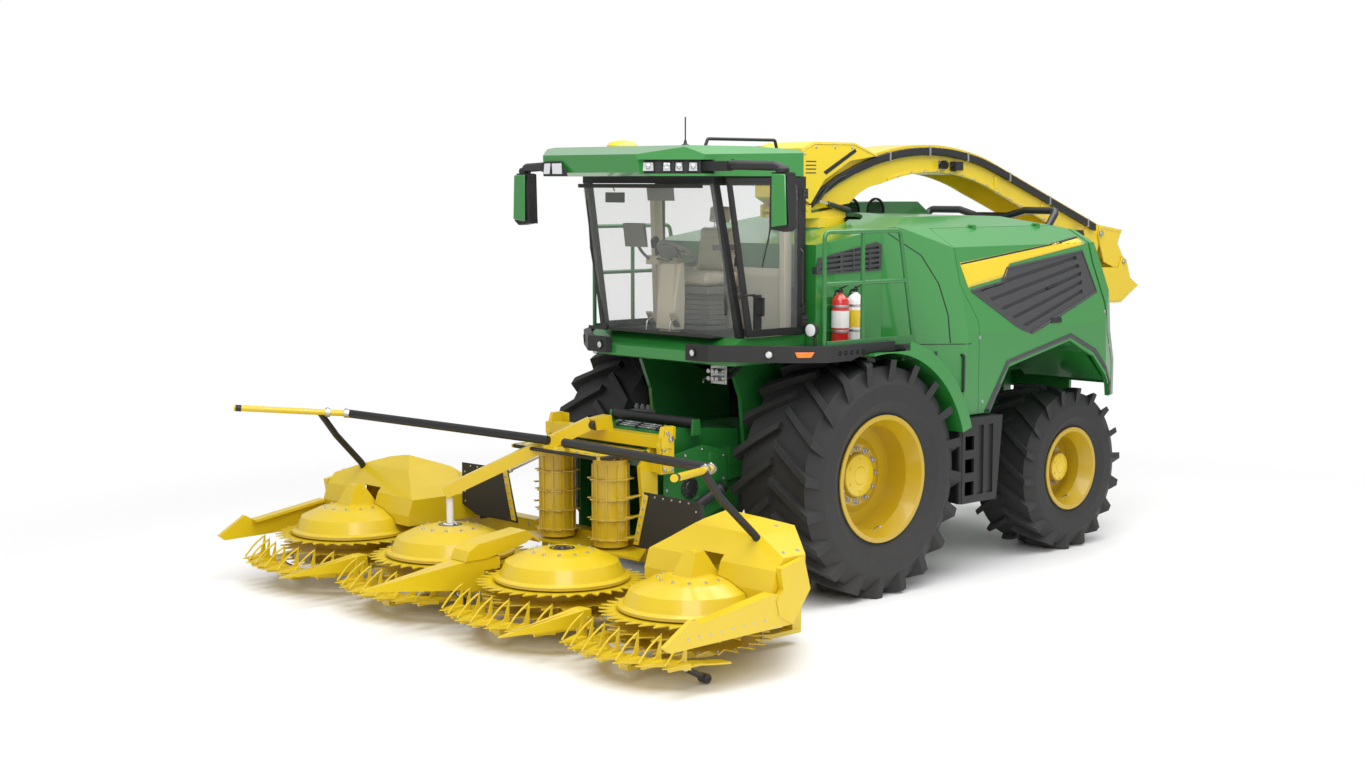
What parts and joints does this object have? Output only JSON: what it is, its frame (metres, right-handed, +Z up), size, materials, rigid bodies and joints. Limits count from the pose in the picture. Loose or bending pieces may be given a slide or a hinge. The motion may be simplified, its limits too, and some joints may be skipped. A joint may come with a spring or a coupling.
{
  "type": "self-propelled forage harvester with rotary crop header",
  "caption": "Self-propelled forage harvester: steered rear wheels, cab, engine hood with lifting side panels, turning discharge spout and a mounted row-independent rotary crop header.",
  "frame": {"origin": "on the ground under the middle of the overall length, on the middle plane", "axes": "+X forward along the machine, +Y to the driver's left, +Z up"},
  "size_m": [10.24, 5.96, 4.18],
  "materials": {
    "body_green": "satin",
    "frame_green": "satin",
    "yellow": "satin",
    "dark_grille": "matte",
    "dark_steel": "satin",
    "tyre": "matte",
    "glass": "gloss",
    "rubber": "matte",
    "engine_grey": "matte",
    "seat_grey": "matte",
    "cab_plastic": "matte",
    "bare_steel": "satin"
  },
  "bodies": {
    "machine": {"chassis": "frame_green", "front_axle": "frame_green", "rear_axle": "frame_green", "hood": "body_green", "mid_hood": "body_green", "vent_grilles": "dark_grille", "intake_housing": "body_green", "rear_screen": "dark_grille", "engine": "engine_grey", "turret_ring": "frame_green", "cab_floor": "frame_green", "cab_frame": "frame_green", "roof": "body_green", "cab_glass": "glass", "seat": "seat_grey", "console": "cab_plastic", "platforms": "dark_steel", "bumpers": "dark_grille", "railings": "dark_steel", "mudguards": "dark_grille", "side_steps": "dark_steel", "roof_gear": "dark_grille", "spout_rest": "dark_steel", "rear_hitch": "frame_green"},
    "front_wheel_left": {"front_tyre_left": "tyre", "front_rim_left": "yellow"},
    "front_wheel_right": {"front_tyre_right": "tyre", "front_rim_right": "yellow"},
    "knuckle_left": {"knuckle_left": "frame_green"},
    "knuckle_right": {"knuckle_right": "frame_green"},
    "rear_wheel_left": {"rear_tyre_left": "tyre", "rear_rim_left": "yellow"},
    "rear_wheel_right": {"rear_tyre_right": "tyre", "rear_rim_right": "yellow"},
    "side_panel_left": {"side_panel_left": "body_green", "side_grille_left": "dark_grille"},
    "side_panel_right": {"side_panel_right": "body_green", "side_grille_right": "dark_grille"},
    "cab_door": {"cab_door": "body_green", "door_glass": "glass"},
    "spout_base": {"spout_base": "yellow"},
    "spout_arch": {"spout_arch": "yellow"},
    "spout_flap": {"spout_flap": "yellow"},
    "spout_flap_tip": {"spout_flap_tip": "yellow"},
    "header": {"feeder_house": "frame_green", "header_frame": "yellow", "rotor_domes": "yellow", "crop_fingers": "yellow", "dividers": "yellow", "wing_hoods": "yellow", "rubber_flaps": "rubber", "guide_bars": "rubber", "guide_bar_ends": "yellow", "sensor_skids": "bare_steel"},
    "rotor_1": {"rotor_1": "yellow"},
    "rotor_2": {"rotor_2": "yellow"},
    "rotor_3": {"rotor_3": "yellow"},
    "rotor_4": {"rotor_4": "yellow"},
    "feed_drum_left": {"feed_drum_left": "bare_steel"},
    "feed_drum_right": {"feed_drum_right": "bare_steel"}
  },
  "joints": [
    {"name": "front_wheel_left_spin", "type": "hinge", "parent": "machine", "child": "front_wheel_left", "pos_m": [0.78, 1.2, 1.045], "axis": [0, 1, 0], "continuous": true},
    {"name": "front_wheel_right_spin", "type": "hinge", "parent": "machine", "child": "front_wheel_right", "pos_m": [0.78, -1.2, 1.045], "axis": [0, 1, 0], "continuous": true},
    {"name": "steer_left", "type": "hinge", "parent": "machine", "child": "knuckle_left", "pos_m": [-2.32, 0.6, 0.8], "axis": [0, 0, 1], "range_deg": [-28, 28]},
    {"name": "steer_right", "type": "hinge", "parent": "machine", "child": "knuckle_right", "pos_m": [-2.32, -0.6, 0.8], "axis": [0, 0, 1], "range_deg": [-28, 28]},
    {"name": "rear_wheel_left_spin", "type": "hinge", "parent": "knuckle_left", "child": "rear_wheel_left", "pos_m": [-2.32, 1.07, 0.8], "axis": [0, 1, 0], "continuous": true},
    {"name": "rear_wheel_right_spin", "type": "hinge", "parent": "knuckle_right", "child": "rear_wheel_right", "pos_m": [-2.32, -1.07, 0.8], "axis": [0, 1, 0], "continuous": true},
    {"name": "side_panel_left_hinge", "type": "hinge", "parent": "machine", "child": "side_panel_left", "pos_m": [-1.47, 1.153, 3.214], "axis": [1, 0, 0], "range_deg": [0, 60]},
    {"name": "side_panel_right_hinge", "type": "hinge", "parent": "machine", "child": "side_panel_right", "pos_m": [-1.47, -1.153, 3.214], "axis": [-1, 0, 0], "range_deg": [0, 60]},
    {"name": "cab_door_hinge", "type": "hinge", "parent": "machine", "child": "cab_door", "pos_m": [1.132, 0.958, 3], "axis": [0, 0, 1], "range_deg": [0, 35]},
    {"name": "spout_turn", "type": "hinge", "parent": "machine", "child": "spout_base", "pos_m": [0.02, 0, 3.2], "axis": [0, 0, 1], "range_deg": [-100, 100]},
    {"name": "spout_lift", "type": "hinge", "parent": "spout_base", "child": "spout_arch", "pos_m": [0.35, 0, 3.37], "axis": [0, 1, 0], "range_deg": [0, 30]},
    {"name": "spout_flap_tilt", "type": "hinge", "parent": "spout_arch", "child": "spout_flap", "pos_m": [-4.39, 0, 3.06], "axis": [0, 1, 0], "range_deg": [0, 40]},
    {"name": "spout_flap_tip_tilt", "type": "hinge", "parent": "spout_flap", "child": "spout_flap_tip", "pos_m": [-4.82, 0, 2.745], "axis": [0, 1, 0], "range_deg": [0, 40]},
    {"name": "header_lift", "type": "hinge", "parent": "machine", "child": "header", "pos_m": [1.28, 0, 1.15], "axis": [0, -1, 0], "range_deg": [0, 20]},
    {"name": "rotor_1_spin", "type": "hinge", "parent": "header", "child": "rotor_1", "pos_m": [3.72, -2.229, 0.3], "axis": [0, 0, 1], "continuous": true},
    {"name": "rotor_2_spin", "type": "hinge", "parent": "header", "child": "rotor_2", "pos_m": [3.72, -0.743, 0.3], "axis": [0, 0, 1], "continuous": true},
    {"name": "rotor_3_spin", "type": "hinge", "parent": "header", "child": "rotor_3", "pos_m": [3.72, 0.743, 0.3], "axis": [0, 0, 1], "continuous": true},
    {"name": "rotor_4_spin", "type": "hinge", "parent": "header", "child": "rotor_4", "pos_m": [3.72, 2.229, 0.3], "axis": [0, 0, 1], "continuous": true},
    {"name": "feed_drum_left_spin", "type": "hinge", "parent": "header", "child": "feed_drum_left", "pos_m": [2.85, 0.35, 0.9], "axis": [0, 0, 1], "continuous": true},
    {"name": "feed_drum_right_spin", "type": "hinge", "parent": "header", "child": "feed_drum_right", "pos_m": [2.85, -0.35, 0.9], "axis": [0, 0, 1], "continuous": true}
  ],
  "couplings": [
    {"joint": "steer_right", "follows": "steer_left", "ratio": 1},
    {"joint": "rotor_2_spin", "follows": "rotor_1_spin", "ratio": 1},
    {"joint": "rotor_3_spin", "follows": "rotor_1_spin", "ratio": -1},
    {"joint": "rotor_4_spin", "follows": "rotor_1_spin", "ratio": -1},
    {"joint": "feed_drum_right_spin", "follows": "feed_drum_left_spin", "ratio": -1}
  ]
}
